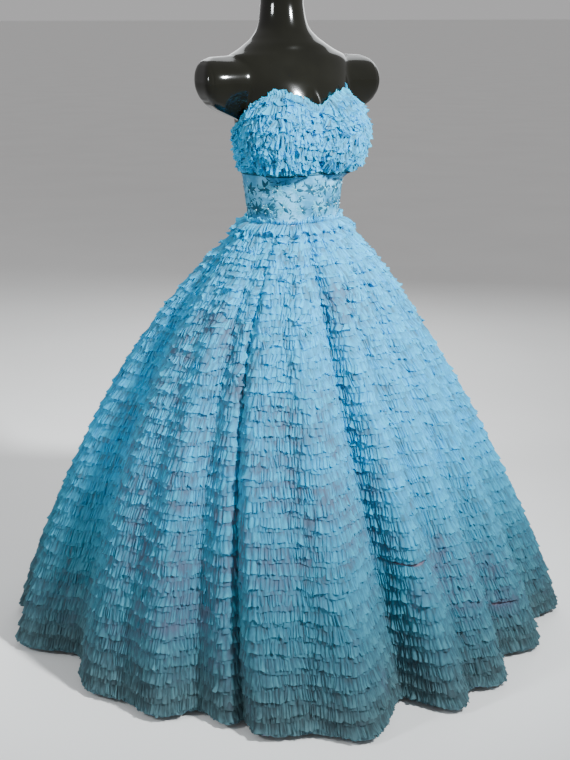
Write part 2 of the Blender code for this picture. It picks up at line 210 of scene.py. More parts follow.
def fold(deg):
    """The folds' distance from the mean radius at the hem."""
    at, value = fold_stops[:, 0], fold_stops[:, 1]
    deg = (deg - at[0]) % 360.0 + at[0]
    i = np.clip(np.searchsorted(at, deg, side="right") - 1, 0, len(at) - 2)
    return value[i] + (value[i + 1] - value[i]) * ease((deg - at[i]) / (at[i + 1] - at[i]))


def oval(deg, z):
    """The torso's plain oval, without cups and shoulder ends."""
    half_width, front, back = torso(z)
    side, ahead = np.sin(np.radians(deg)), np.cos(np.radians(deg))
    return 1 / np.hypot(side / half_width, ahead / np.where(ahead > 0, front, back))


def form_radius(deg, z):
    """Distance from the axis to the form's surface."""
    around = (np.abs(wrapped(deg)) - CUP_DEG) / CUP_WIDTH_DEG
    height = (z - CUP_Z) / CUP_HEIGHT
    body = oval(deg, z) + CUP_DEPTH * np.maximum(1 - around**2 - height**2, 0.0) ** CUP_ROUNDING
    end, half_depth = stub_sizes(z)
    side, ahead = np.abs(np.sin(np.radians(deg))), np.abs(np.cos(np.radians(deg)))
    power = STUB_SQUARENESS
    arm = ((side / end) ** power + (ahead / half_depth) ** power) ** (-1 / power)
    arm = np.where((z >= STUB[0][0]) & (z <= STUB[-1][0]), arm, 0.0)
    reach = np.maximum(STUB_BLEND - np.abs(body - arm), 0.0) / STUB_BLEND
    return np.maximum(body, arm) + reach * reach * STUB_BLEND / 4


def at(deg, radius, z):
    """Points round the body's middle at a height."""
    (forward,) = posture(z)
    x, y = radius * np.sin(np.radians(deg)), -radius * np.cos(np.radians(deg)) - forward
    return np.stack([x, y, z + 0.0 * x], axis=-1)


def skirt_surface(deg, z):
    """Points of the cloth that the skirt's ruffles are sewn to. The angle is that at the hem."""
    mean, strength = skirt_sizes(z)
    drop = (WAIST_Z - z) / (WAIST_Z - HEM_Z)
    deg_here = deg - FOLD_TWIST_DEG * (1 - drop)
    waist = oval(deg_here, WAIST_Z + 0.0 * deg_here) - SKIRT[0][1] + WAIST_EASE + CLOTH
    return at(deg_here, mean + waist * (1 - ease(drop / ROUND_AT_DROP)) + strength * fold(deg), z)


def bust_surface(deg, share):
    """Points of the cloth under the bust's ruffles, a share of the way up from the seam under the bust."""
    (top,) = neckline(np.abs(wrapped(deg)))
    z = UNDERBUST_Z + (top - UNDERBUST_Z) * share
    return at(deg, form_radius(deg, z) + FORM_CLEARANCE + CLOTH, z)


def midriff_surface(deg, z):
    """Points of the outside of the midriff's cloth."""
    return at(deg, form_radius(deg, z) + FORM_CLEARANCE + CLOTH, z)


# Half steps along and down a surface, over which its normals are measured
SKIRT_STEPS = (0.15, 0.002)
BUST_STEPS = (0.3, 0.01)
FINE_STEPS = (0.3, 0.002)


def outward(surface, along, down, steps=FINE_STEPS):
    """The unit normals of a surface."""
    along_step, down_step = steps
    across = surface(along + along_step, down) - surface(along - along_step, down)
    up = surface(along, down + down_step) - surface(along, down - down_step)
    normal = np.cross(across, up)
    return normal / np.linalg.norm(normal, axis=-1, keepdims=True)


# The skirt's height at each distance down its slant
SLANT_POINTS = 2000
slant_z = np.linspace(WAIST_Z, HEM_Z, SLANT_POINTS)
slant_steps = np.hypot(np.diff(slant_z), np.diff(skirt_sizes(slant_z)[0]))
slant_s = np.concatenate([[0], np.cumsum(slant_steps)])
SLANT = float(slant_s[-1])
ROW_STEP = SLANT / RUFFLE_ROWS


def grid_faces(rows, columns, closed=False):
    """The quads of a grid of points whose rows run from top to bottom and columns round to the left."""
    steps = columns if closed else columns - 1
    row, column = np.meshgrid(np.arange(rows - 1), np.arange(steps), indexing="ij")
    after = (column + 1) % columns
    above, below = row * columns, (row + 1) * columns
    return np.stack([above + column, below + column, below + after, above + after], axis=-1).reshape(-1, 4)


def add_object(name, data):
    """A new object in the scene."""
    made = bpy.data.objects.new(name, data)
    bpy.context.scene.collection.objects.link(made)
    return made


def add_mesh(name, points, faces, material, numbers=None):
    """A smooth mesh from arrays, riding on the gown, with a number for each point under each given name."""
    mesh = bpy.data.meshes.new(name)
    points, faces = np.asarray(points, np.float32).reshape(-1, 3), np.asarray(faces, np.int32)
    mesh.vertices.add(len(points))
    mesh.vertices.foreach_set("co", points.ravel())
    mesh.loops.add(faces.size)
    mesh.loops.foreach_set("vertex_index", faces.ravel())
    mesh.polygons.add(len(faces))
    mesh.polygons.foreach_set("loop_start", np.arange(0, faces.size, faces.shape[1], dtype=np.int32))
    mesh.update(calc_edges=True)
    for key, values in (numbers or {}).items():
        made = mesh.attributes.new(key, "FLOAT", "POINT")
        made.data.foreach_set("value", np.asarray(values, np.float32).ravel())
    mesh.materials.append(material)
    mesh.shade_smooth()
    made = add_object(name, mesh)
    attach(made, "root")
    return made


def area_of(points, faces):
    """The area of a mesh of quads."""
    a, b, c, d = (points.reshape(-1, 3)[faces[:, i]] for i in range(4))
    return float(np.linalg.norm(np.cross(c - a, d - b), axis=1).sum() / 2)


def run_of(points):
    """The length of a line of points."""
    return float(np.linalg.norm(np.diff(points, axis=0), axis=1).sum())


# Shader helpers


def add_node(tree, kind, inputs=None, **settings):
    """A shader node with its settings, and its inputs set or linked."""
    made = tree.nodes.new(kind)
    for key, value in settings.items():
        setattr(made, key, value)
    for key, value in (inputs or {}).items():
        if isinstance(value, bpy.types.NodeSocket):
            tree.links.new(value, made.inputs[key])
        else:
            made.inputs[key].default_value = value
    return made


def new_material(name, **sockets):
    """A material with its node tree and its Principled shader, whose constant sockets are set."""
    made = bpy.data.materials.new(name)
    made.use_nodes = True
    shader = made.node_tree.nodes["Principled BSDF"]
    for key, value in sockets.items():
        shader.inputs[key.replace("_", " ")].default_value = value
    return made, made.node_tree, shader


def ramp(tree, factor, stops):
    """A colour ramp through (place, colour) stops, from the lowest place to the highest."""
    made = add_node(tree, "ShaderNodeValToRGB", {"Fac": factor})
    elements = made.color_ramp.elements
    for element, (place, color) in zip([elements[0], elements[1]], [stops[0], stops[-1]]):
        element.position, element.color = place, (*color, 1)
    for place, color in stops[1:-1]:
        elements.new(place).color = (*color, 1)
    return made.outputs["Color"]


def mix_colors(tree, factor, first, second):
    """A mix of two colours, each a socket or red, green and blue."""
    a, b = (color if isinstance(color, bpy.types.NodeSocket) else (*color, 1) for color in (first, second))
    # Inputs 6 and 7 and output 2 are the node's sockets for colours
    return add_node(tree, "ShaderNodeMix", {0: factor, 6: a, 7: b}, data_type="RGBA").outputs[2]


def calc(tree, operation, *values, clamp=False):
    """The result of a math node."""
    inputs = dict(enumerate(values))
    return add_node(tree, "ShaderNodeMath", inputs, operation=operation, use_clamp=clamp).outputs[0]


def noise(tree, place, scale, detail):
    inputs = {"Vector": place, "Scale": scale, "Detail": detail}
    return add_node(tree, "ShaderNodeTexNoise", inputs).outputs["Fac"]


def waves(tree, place, scale, distortion):
    inputs = {"Vector": place, "Scale": scale, "Distortion": distortion}
    return add_node(tree, "ShaderNodeTexWave", inputs).outputs["Fac"]


def place_in(tree):
    """The place on the piece, in metres."""
    return add_node(tree, "ShaderNodeTexCoord").outputs["Object"]


def scaled(tree, vector, factors):
    return add_node(tree, "ShaderNodeVectorMath", {0: vector, 1: factors}, operation="MULTIPLY").outputs[0]


def attribute(tree, name):
    """A number that each point of the mesh holds."""
    return add_node(tree, "ShaderNodeAttribute", attribute_name=name).outputs["Fac"]


def bump(tree, shader, height, strength, distance, after=None):
    """Small relief on a shader, over an earlier one where it is given."""
    inputs = {"Height": height, "Strength": strength, "Distance": distance}
    if after is not None:
        inputs["Normal"] = after
    made = add_node(tree, "ShaderNodeBump", inputs).outputs["Normal"]
    tree.links.new(made, shader.inputs["Normal"])
    return made


def paint(tree, shader, color):
    tree.links.new(color, shader.inputs["Base Color"])


# Materials

# Deep, middle and light tones of the net: clear blue at the top; near the hem greyer, and darker as painted
# shade where the light falls off towards the floor
NET_ABOVE = [(0.11, 0.31, 0.44), (0.05, 0.5, 0.79), (0.045, 0.7, 1.000)]
NET_SHADED_BELOW = [(0.08, 0.125, 0.145), (0.1, 0.185, 0.215), (0.15, 0.31, 0.355)]
TONE_PLACES = (0.0, 0.5, 1.0)
NET_SHADE_FADE_Z = (0.05, 0.5)
LINING_SEEN = (0.165, 0.23, 0.34)
LINING_BARE = (0.12, 0.085, 0.12)
LIGHT_THROUGH = 0.6
# Streaks down the net: how many in a metre along it and in its depth, and how strongly they change its tone
STREAKS = (150.0, 1.2, 1.0)
STREAK_CONTRAST = 1.9
# Painted shade and light: how the tone drops at the gathers, in the shade of the row above, and rises towards
# the edge that flares into the light, and the share of the depth that this takes
GATHERS_PAINTED_SHADE, EDGE_PAINTED_LIGHT, TONE_REACH = -0.34, 0.12, 0.85
# Patches where the lining shows: the noise that starts them, their contrast, and the tone that hides them
PATCH_START, PATCH_CONTRAST, PATCH_HIDDEN_TONE = 0.62, 2.6, 1.15


def net_material():
    """Blue net in several layers, with painted shade and light: darker in the gathers under the row above, in
    the pleats' valleys and towards the hem, lighter at the flared edges; the lining seen in patches.
    """
    made, tree, shader = new_material(
        "net_ruffle_cloth", Roughness=0.7, Specular_IOR_Level=0.1, Sheen_Weight=0.06, Sheen_Roughness=0.45
    )
    shader.inputs["Sheen Tint"].default_value = (0.55, 0.85, 1.0, 1)
    place = place_in(tree)
    down = attribute(tree, "down")
    strip = add_node(tree, "ShaderNodeCombineXYZ", {"X": attribute(tree, "along"), "Y": down}).outputs[0]
    streaks = noise(tree, scaled(tree, strip, STREAKS), scale=1.0, detail=3.0)
    # Painted shade at the gathers, under the row above, and painted light towards the edge
    to_edge = {0: down, 1: 0.0, 2: TONE_REACH, 3: GATHERS_PAINTED_SHADE, 4: EDGE_PAINTED_LIGHT}
    gathers = add_node(tree, "ShaderNodeMapRange", to_edge).outputs[0]
    streak_tone = calc(tree, "MULTIPLY", calc(tree, "SUBTRACT", streaks, 0.5), STREAK_CONTRAST)
    level = calc(tree, "ADD", attribute(tree, "tone"), streak_tone)
    level = calc(tree, "ADD", level, gathers, clamp=True)
    above, below = (ramp(tree, level, list(zip(TONE_PLACES, tones))) for tones in (NET_ABOVE, NET_SHADED_BELOW))
    height = add_node(tree, "ShaderNodeSeparateXYZ", {0: place}).outputs["Z"]
    # Painted shade: towards the hem the net blends into its darker, greyer tones, where the light falls off
    upper = add_node(tree, "ShaderNodeMapRange", {0: height, 1: NET_SHADE_FADE_Z[0], 2: NET_SHADE_FADE_Z[1]}).outputs[0]
    color = mix_colors(tree, upper, below, above)
    patches = calc(tree, "SUBTRACT", noise(tree, place, scale=14.0, detail=3.0), PATCH_START)
    patches = calc(tree, "ADD", patches, attribute(tree, "veil"))
    patches = calc(tree, "MULTIPLY", patches, PATCH_CONTRAST, clamp=True)
    thin = calc(tree, "MULTIPLY", patches, calc(tree, "SUBTRACT", PATCH_HIDDEN_TONE, level), clamp=True)
    color = mix_colors(tree, thin, color, LINING_SEEN)
    paint(tree, shader, color)
    holes = add_node(tree, "ShaderNodeTexVoronoi", {"Vector": place, "Scale": 620.0}).outputs["Distance"]
    rough = bump(tree, shader, holes, strength=0.18, distance=0.0006)
    bump(tree, shader, streaks, strength=0.7, distance=0.0016, after=rough)
    through = add_node(tree, "ShaderNodeBsdfTranslucent", {"Color": color})
    inputs = {0: LIGHT_THROUGH, 1: shader.outputs[0], 2: through.outputs[0]}
    both = add_node(tree, "ShaderNodeMixShader", inputs)
    tree.links.new(both.outputs[0], tree.nodes["Material Output"].inputs["Surface"])
    return made


def lining_material():
    """The satin lining behind the net: mauve where it lies bare, and blue and grey under the other layers."""
    made, tree, shader = new_material("skirt_lining", Roughness=0.5, Sheen_Weight=0.25)
    place = place_in(tree)
    stops = [(0.35, (0.12, 0.32, 0.5)), (0.5, (0.15, 0.3, 0.46)), (0.65, (0.21, 0.27, 0.41))]
    color = ramp(tree, noise(tree, place, scale=6.0, detail=3.0), stops)
    paint(tree, shader, mix_colors(tree, attribute(tree, "bare"), color, LINING_BARE))
    bump(tree, shader, waves(tree, place, scale=260.0, distortion=1.5), strength=0.12, distance=0.0004)
    return made


def midriff_material():
    """Pale satin under a sheer layer, with soft creases across."""
    made, tree, shader = new_material(
        "midriff_satin", Roughness=0.5, Specular_IOR_Level=0.18, Sheen_Weight=0.04, Sheen_Roughness=0.4
    )
    place = place_in(tree)
    stops = [(0.36, (0.012, 0.11, 0.21)), (0.5, (0.03, 0.19, 0.33)), (0.64, (0.085, 0.34, 0.54))]
    paint(tree, shader, ramp(tree, noise(tree, place, scale=20.0, detail=3.0), stops))
    creases = noise(tree, scaled(tree, place, (1.0, 1.0, 5.0)), scale=14.0, detail=2.0)
    weave = waves(tree, place, scale=420.0, distortion=1.0)
    fine = bump(tree, shader, weave, strength=0.1, distance=0.0004)
    bump(tree, shader, creases, strength=0.55, distance=0.006, after=fine)
    return made


def thread_material(name, dark, light):
    """Embroidery silk: fine stitches with a soft sheen."""
    made, tree, shader = new_material(name, Roughness=0.5, Specular_IOR_Level=0.2)
    place = place_in(tree)
    stitches = waves(tree, place, scale=330.0, distortion=6.0)
    clouds = noise(tree, place, scale=90.0, detail=1.0)
    mean = calc(tree, "MULTIPLY", calc(tree, "ADD", stitches, clouds), 0.5)
    paint(tree, shader, ramp(tree, mean, [(0.25, dark), (0.75, light)]))
    bump(tree, shader, stitches, strength=0.4, distance=0.0006)
    return made


def bead_material():
    """Clear blue glass."""
    made, tree, shader = new_material("glass_beads", Roughness=0.08, Specular_IOR_Level=0.9, Coat_Weight=1.0)
    clouds = noise(tree, place_in(tree), scale=240.0, detail=1.0)
    paint(tree, shader, ramp(tree, clouds, [(0.3, (0.3, 0.6, 0.75)), (0.7, (0.6, 0.85, 0.95))]))
    return made


GLOSS_ROUGHNESS, RUBBED_ROUGHNESS = 0.05, 0.1


def gloss_material():
    """Black lacquered plastic with dust and faint rubbed patches."""
    made, tree, shader = new_material(
        "black_lacquer", Specular_IOR_Level=0.3, Coat_Weight=0.1, Coat_Roughness=0.12
    )
    place = place_in(tree)
    stops = [(0.3, (0.0026, 0.0026, 0.0016)), (0.75, (0.006, 0.006, 0.004))]
    paint(tree, shader, ramp(tree, noise(tree, place, scale=7.0, detail=3.0), stops))
    rubbed = calc(tree, "MULTIPLY", noise(tree, place, scale=16.0, detail=4.0), RUBBED_ROUGHNESS)
    tree.links.new(calc(tree, "ADD", rubbed, GLOSS_ROUGHNESS), shader.inputs["Roughness"])
    bump(tree, shader, noise(tree, place, scale=60.0, detail=2.0), strength=0.05, distance=0.001)
    return made


STEEL_ROUGHNESS, GRAIN_ROUGHNESS = 0.2, 0.25


def steel_material():
    """Brushed steel of the pole and the base."""
    made, tree, shader = new_material("brushed_steel", Metallic=1.0)
    grain = noise(tree, scaled(tree, place_in(tree), (30.0, 30.0, 2.0)), scale=20.0, detail=3.0)
    paint(tree, shader, ramp(tree, grain, [(0.3, (0.42, 0.43, 0.44)), (0.7, (0.62, 0.63, 0.64))]))
    uneven = calc(tree, "MULTIPLY", grain, GRAIN_ROUGHNESS)
    tree.links.new(calc(tree, "ADD", uneven, STEEL_ROUGHNESS), shader.inputs["Roughness"])
    bump(tree, shader, grain, strength=0.15, distance=0.0005)
    return made


def floor_material():
    """A plain pale floor."""
    made, tree, shader = new_material("pale_floor", Roughness=0.8)
    clouds = noise(tree, place_in(tree), scale=1.5, detail=3.0)
    paint(tree, shader, ramp(tree, clouds, [(0.3, (0.79, 0.79, 0.78)), (0.7, (0.82, 0.82, 0.81))]))
    return made


net, lining, satin = net_material(), lining_material(), midriff_material()
gloss, steel, beads = gloss_material(), steel_material(), bead_material()
teal_thread = thread_material("teal_thread", (0.002, 0.03, 0.06), (0.008, 0.09, 0.15))
aqua_thread = thread_material("aqua_thread", (0.015, 0.16, 0.26), (0.08, 0.38, 0.54))

# Ruffles

# Where the columns of a pleat lie across it, and how far they stand out or in
PLEAT_PLACE = np.array([0.0, 0.16, 0.36, 0.6, 0.82])
PLEAT_WAVE = np.array([-0.85, 0.1, 1.0, 0.65, -0.35])

# How a strip of net is gathered, in seven styles: the skirt's short layer near the waist and below, its long
# layer near the waist and below, the bust's rows, the neckline's frill and the waist ruffle
FRILL_SIZES = {
    # A pleat's width
    "pitch": (0.0063, 0.0074, 0.0086, 0.0094, 0.005, 0.0056, 0.0056),
    # How far the strip stands off at its gathers and its edge, and how deep the pleats are there
    "tuck": (0.0058, 0.0058, 0.005, 0.005, 0.004, 0.002, 0.002),
    "flare": (0.0088, 0.0092, 0.0078, 0.008, 0.0078, 0.008, 0.014),
    "gather_swing": (0.0012, 0.0009, 0.0007, 0.0006, 0.0012, 0.0008, 0.0014),
    "edge_swing": (0.0026, 0.0021, 0.0019, 0.0015, 0.003, 0.0018, 0.0032),
    # How far the pleats stray
    "lean": (0.012, 0.0046, 0.006, 0.003, 0.017, 0.007, 0.015),
    "lift": (0.0018, 0.0015, 0.0016, 0.0012, 0.0018, 0.0014, 0.005),
    "uneven": (0.004, 0.0026, 0.0028, 0.0018, 0.005, 0.0026, 0.006),
    "curl": (0.003, 0.002, 0.0014, 0.0012, 0.003, 0.0016, 0.0045),
    "flip": (0.45, 0.22, 0.1, 0.1, 0.6, 0, 0.9),
    "wander": (0.005, 0.002, 0.004, 0.002, 0.007, 0, 0.007),
    # How far the edge falls back, how soon the strip stands off, and its tone; the long layers' lower tone is
    # partly painted shade under the short layers over them and partly the lining seen through
    "droop": (0, 0, 0, 0, 0, 0, 0.002),
    "puff": (1.5, 1.3, 1.2, 1.2, 1.5, 2, 2),
    "shade": (0.55, 0.6, 0.42, 0.36, 0.46, 0.55, 0.5),
}
Frill = namedtuple("Frill", FRILL_SIZES)
SHORT_ABOVE, SHORT_BELOW, LONG_ABOVE, LONG_BELOW, BUST_FRILL, NECK_FRILL, WAIST_FRILL = (
    Frill(*sizes) for sizes in zip(*FRILL_SIZES.values())
)

# How the pleats of one strip differ: shares of the sizes above, drawn at random or drifting along the strip
FEWEST_PLEATS = 4
DRIFT_LENGTHS = (0.31, 0.17, 0.083, 0.047)
WAVE_STRENGTHS = (0.5, 1.0)
WIDTH_SPREAD = 0.38
FULLNESS_MEAN, FULLNESS_DRIFT, FULLNESS_RANGE = 0.85, 0.45, (0.25, 1.5)
HEIGHT_RANGE = (0.55, 1.35)
LEAN_SPREAD, VALLEY_LEAN = 0.28, 0.4
LIFT_SPREAD, LIFT_LEAST = 0.5, -0.8
EDGE_SPREAD, EDGE_TILT = 0.5, 1.6
CURL_MEAN, CURL_SPREAD = 0.2, 1.0
# The last of these is painted shade: each pleat's tone drops in its valleys and rises on its ridges
TONE_DRIFT, TONE_SPREAD, PLEAT_PAINTED_SHADE = 0.16, 0.12, 0.1
FLIP_DRIFT, FLIP_SPREAD, FLIP_HELD = 0.9, 0.35, 0.35
FLIP_SHORTENS, FLIP_STANDS = 0.22, 0.007
# Shares of the depth: how the rows of points crowd, and where curl and droop start and the swing is full
CROWDING = 0.9
CURL_FROM, DROOP_FROM, DROOP_POWER, SWING_FULL = 0.6, 0.4, 1.5, 0.6
LEAST_OFF = 0.0008
END_MARGIN = 0.01

# Where one layer of net lies on the mauve lining, as a middle and a reach
THIN_PLACES = [
    ((-0.35, -0.2, 0.56), 0.2),
    ((-0.43, -0.16, 0.44), 0.18),
    ((-0.34, -0.1, 0.68), 0.14),
    ((-0.2, -0.38, 0.54), 0.15),
    ((-0.2, -0.46, 0.38), 0.16),
    ((-0.45, -0.3, 0.26), 0.17),
    ((-0.02, -0.27, 0.85), 0.08),
    ((-0.26, -0.13, 0.8), 0.07),
    ((0.1, -0.55, 0.28), 0.12),
    ((0.29, -0.5, 0.17), 0.09),
]
THINNEST = 0.34


def thinness(points):
    """How plainly the lining shows through at each point."""
    total = np.zeros(points.shape[:-1])
    for middle, reach in THIN_PLACES:
        total += np.exp(-(np.linalg.norm(points - np.array(middle), axis=-1) / reach) ** 2)
    return np.minimum(total, 1.0) * THINNEST


def drift(share, counts, rng):
    """A smooth random wave along a row, about -1 to 1, that closes on itself."""
    total = np.zeros_like(share)
    for count in counts:
        total += rng.uniform(*WAVE_STRENGTHS) * np.sin(2 * np.pi * (count * share + rng.uniform()))
    return total / math.sqrt(len(counts))


def per_column(values):
    """Each pleat's value, repeated for its columns."""
    return np.repeat(values, len(PLEAT_PLACE))


def ruffle(name, surface, span, steps, style, depth, down, seed, closed=True, segments=5, drop=None):
    """A gathered strip on a surface, and its flat size.

    surface(along, down) gives points. span is where the strip starts and ends along it, and where down it is
    measured, and steps are those for normals. down(t) turns shares of the depth to the surface's own second
    value. drop(along) gives how far the gathers, and how far the edge, hang lower at each place.
    """
    rng = np.random.default_rng(seed)
    places, length = even_line(surface, *span)
    count = max(round(length / style.pitch), FEWEST_PLEATS)
    widths = np.exp(rng.normal(0, WIDTH_SPREAD, count))
    widths *= length / widths.sum()
    starts = np.concatenate([[0], np.cumsum(widths)[:-1]])
    share = starts / length
    place_in_pleat, pleat_wave = np.tile(PLEAT_PLACE, count), np.tile(PLEAT_WAVE, count)
    spots = per_column(starts) + place_in_pleat * per_column(widths)
    few = [max(round(length / size), 1) for size in DRIFT_LENGTHS]
    slow, quick = few[1:], few[2:]

    fullness = np.clip(FULLNESS_MEAN + FULLNESS_DRIFT * drift(share, few, rng), *FULLNESS_RANGE)
    heights = np.sqrt(widths / style.pitch) * rng.uniform(*HEIGHT_RANGE, count) * fullness
    lean = per_column(drift(share, few, rng) + rng.normal(0, LEAN_SPREAD, count)) * style.lean
    lift = np.maximum(drift(share, few, rng) + rng.normal(0, LIFT_SPREAD, count), LIFT_LEAST)
    lift = per_column(lift) * style.lift
    uneven = style.uneven * (
        np.interp(spots / length, share, drift(share, slow, rng) + rng.normal(0, EDGE_SPREAD, count))
        + per_column(rng.normal(0, EDGE_TILT, count)) * (place_in_pleat - 0.5)
    )
    curl = per_column(rng.normal(CURL_MEAN, CURL_SPREAD, count)) * style.curl
    tone = style.shade + TONE_DRIFT * drift(share, few, rng) + rng.normal(0, TONE_SPREAD, count)
    # Painted shade in the pleats' valleys and painted light on their ridges
    tone = per_column(tone) + PLEAT_PAINTED_SHADE * pleat_wave
    wander = per_column(drift(share, few, rng)) * style.wander
    flip = drift(share, quick, rng) * FLIP_DRIFT + rng.normal(0, FLIP_SPREAD, count) - FLIP_HELD
    flip = per_column(np.clip(flip, 0, 1)) * style.flip

    t = np.linspace(0, 1, segments + 1)[:, None] ** CROWDING
    leaning = np.where(pleat_wave > 0, 1.0, VALLEY_LEAN)
    spot = np.clip(spots + lean * t * leaning, -END_MARGIN, length + END_MARGIN)
    if closed:
        spot = spot % length
    along = np.interp(spot, np.linspace(0, length, len(places)), places)
    fall = t * (1 - FLIP_SHORTENS * flip * t) + (uneven * t + wander) / depth
    if drop:
        top_drop, edge_drop = drop(along)
        fall = fall + (top_drop * (1 - t) ** 2 + edge_drop * t) / depth
    stand = style.tuck + (style.flare - style.tuck) * (1 - (1 - t) ** style.puff)
    curling = np.clip((t - CURL_FROM) / (1 - CURL_FROM), 0, 1) ** 2
    stand = stand + (lift + FLIP_STANDS * flip) * t**2 + curl * curling
    stand = stand - style.droop * np.clip((t - DROOP_FROM) / (1 - DROOP_FROM), 0, 1) ** DROOP_POWER
    swing = style.gather_swing + (style.edge_swing - style.gather_swing) * np.minimum(t / SWING_FULL, 1)
    off = np.maximum(stand + swing * (pleat_wave * per_column(heights)), LEAST_OFF)
    second = down(fall)
    points = surface(along, second)
    points = points + outward(surface, along, second, steps) * off[..., None]

    faces = grid_faces(len(t), points.shape[1], closed)
    numbers = {
        "tone": np.clip(tone + 0 * t, 0, 1),
        "down": t + 0 * spots,
        "along": spots + 0 * t,
        "veil": thinness(points),
    }
    made = add_mesh(name, points, faces, net, numbers)
    return made, (round(depth, 4), round(area_of(points, faces) / depth, 2))


LINE_SAMPLES = 1441


def even_line(surface, start, end, second):
    """Along values at even steps of length on a surface, and the length."""
    along = np.linspace(start, end, LINE_SAMPLES)
    points = surface(along, second + 0 * along)
    run = np.concatenate([[0], np.cumsum(np.linalg.norm(np.diff(points, axis=0), axis=1))])
    return np.interp(np.linspace(0, run[-1], LINE_SAMPLES), run, along), float(run[-1])


def between(first, last):
    """Turns shares of a ruffle's depth into values from the first to the last."""
    return lambda t: first + (last - first) * t


# Each row of the skirt has a short layer of net over a longer one. EVEN_ROW is the row from which all are
# gathered alike, and SHORT_SHARES the short layer's share of a row at the waist and there
EVEN_ROW = 20
SHORT_SHARES = (0.58, 0.84)
SHORT_START, LONG_START, LONG_END = -0.004, -0.006, 0.004
SHORT_SEED, LONG_SEED = 100, 200
SHORT_SEGMENTS, LONG_SEGMENTS = 3, 2
# The share of a strip's depth at which its length is measured
MEASURED_AT = 0.6

# Where the stitching has come away at the top of a row and shows the lining
Slit = namedtuple("Slit", "row deg reach_deg fall")
SLITS = [Slit(25, 2.8, 6.2, 0.012), Slit(31, 30.5, 3.4, 0.011)]
SLIT_LIFT = 0.005
SLIT_EDGE_SHARE = 0.2


def blended(first, second, t):
    return Frill(*(a + (b - a) * t for a, b in zip(first, second)))


def slit_drop(row, along):
    """How far the gathers and the edge of a row hang lower, for the rows at and above a slit."""
    top, edge = np.zeros_like(along), np.zeros_like(along)
    for slit in SLITS:
        near = np.exp(-((wrapped(along - slit.deg) / slit.reach_deg) ** 4))
        near = near * np.cos(0.5 * wrapped(along - slit.deg) / slit.reach_deg)
        if row == slit.row:
            top, edge = top + slit.fall * near, edge + SLIT_EDGE_SHARE * slit.fall * near
        if row == slit.row - 1:
            edge = edge - SLIT_LIFT * near
    return top, edge


def build_skirt_layer(name, row, style, start, depth, seed, segments):
    """One gathered layer of a row, from its start down the slant."""
    depth = min(depth, SLANT - start)

    def down(t):
        return np.interp(start + t * depth, slant_s, slant_z)

    span = (0.0, 360.0, down(MEASURED_AT))
    made, flat = ruffle(
        name, skirt_surface, span, SKIRT_STEPS, style, depth, down, seed + row,
        segments=segments, drop=partial(slit_drop, row),
    )


def build_skirt_rows():
    """The rows of ruffle round the skirt, from the waist to the hem."""
    for row in range(1, RUFFLE_ROWS):
        lower = float(ease(row / EVEN_ROW))
        top = row * ROW_STEP
        short_share = SHORT_SHARES[0] + (SHORT_SHARES[1] - SHORT_SHARES[0]) * lower
        build_skirt_layer(
            f"skirt_ruffle_{row:02d}", row, blended(SHORT_ABOVE, SHORT_BELOW, lower), top + SHORT_START,
            short_share * ROW_STEP - SHORT_START, SHORT_SEED, SHORT_SEGMENTS,
        )
        build_skirt_layer(
            f"skirt_underlayer_{row:02d}", row, blended(LONG_ABOVE, LONG_BELOW, lower), top + LONG_START,
            ROW_STEP - LONG_START + LONG_END, LONG_SEED, LONG_SEGMENTS,
        )


GORE_STEP_DEG = 1.0
GORE_RINGS = 60
# How far round a slit the lining is bare: shares of its reach and of a row
BARE_REACH, BARE_DROP = 1.6, 0.9


def build_gores():
    """The lining and underlayer that the ruffles are sewn to, in six gores that replace the solids."""
    ends = GORE_SEAMS_DEG[1:] + [GORE_SEAMS_DEG[0] + 360]
    heights = np.interp(np.linspace(0, SLANT, GORE_RINGS), slant_s, slant_z)
    for name, start, end in zip(GORE_NAMES, GORE_SEAMS_DEG, ends):
        angles = np.linspace(start, end, round((end - start) / GORE_STEP_DEG) + 1)
        deg, z = np.meshgrid(angles, heights)
        points = skirt_surface(deg, z)
        faces = grid_faces(len(heights), len(angles))
        slant = np.interp(-z, -slant_z, slant_s)
        bare = 0 * z
        for slit in SLITS:
            across = wrapped(deg - slit.deg) / (BARE_REACH * slit.reach_deg)
            along = (slant - slit.row * ROW_STEP) / (BARE_DROP * ROW_STEP)
            bare = bare + np.exp(-(across**4) - along**4)
        made = add_mesh(f"skirt_{name}_cloth", points, faces, lining, {"bare": bare})
        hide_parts("skirt_" + name)


# The bust's lowest row lies flat over the seam
LOWEST_FRILL = BUST_FRILL._replace(flare=0.005, lift=0.001, flip=0.0, uneven=0.0015, wander=0.0, lean=0.004)
BUST_DEPTH, NECK_DEPTH = 0.026, 0.018
# Each bust panel's name, first and last angle, rows of ruffle and seed, parted a little at the centre back
BUST_PANELS = [
    ("bust_front", -90.0, 90.0, 14, 300),
    ("bust_back_left", 90.0, 179.9, 8, 400),
    ("bust_back_right", 180.1, 270.0, 8, 500),
]
NECK_SEED_STEP = 50
BUST_SEGMENTS = 4
# Shares of the way up the bust: how far a row reaches under the next, the lowest edge, the highest gathers,
# and the frill at the neckline
BUST_OVERLAP, LOWEST_EDGE, HIGHEST_GATHERS = 0.075, 0.055, 0.985
NECK_SHARES = (0.93, 1.065)
BODICE_STEP_DEG = 2.0
BUST_RINGS = 33
# The numbers that the net's material reads, on the plain cloth under the rows; its down value gives it part
# of the painted shade of the gathers
UNDER_TONE, UNDER_DOWN, UNDER_RADIUS = 0.35, 0.3, 0.15


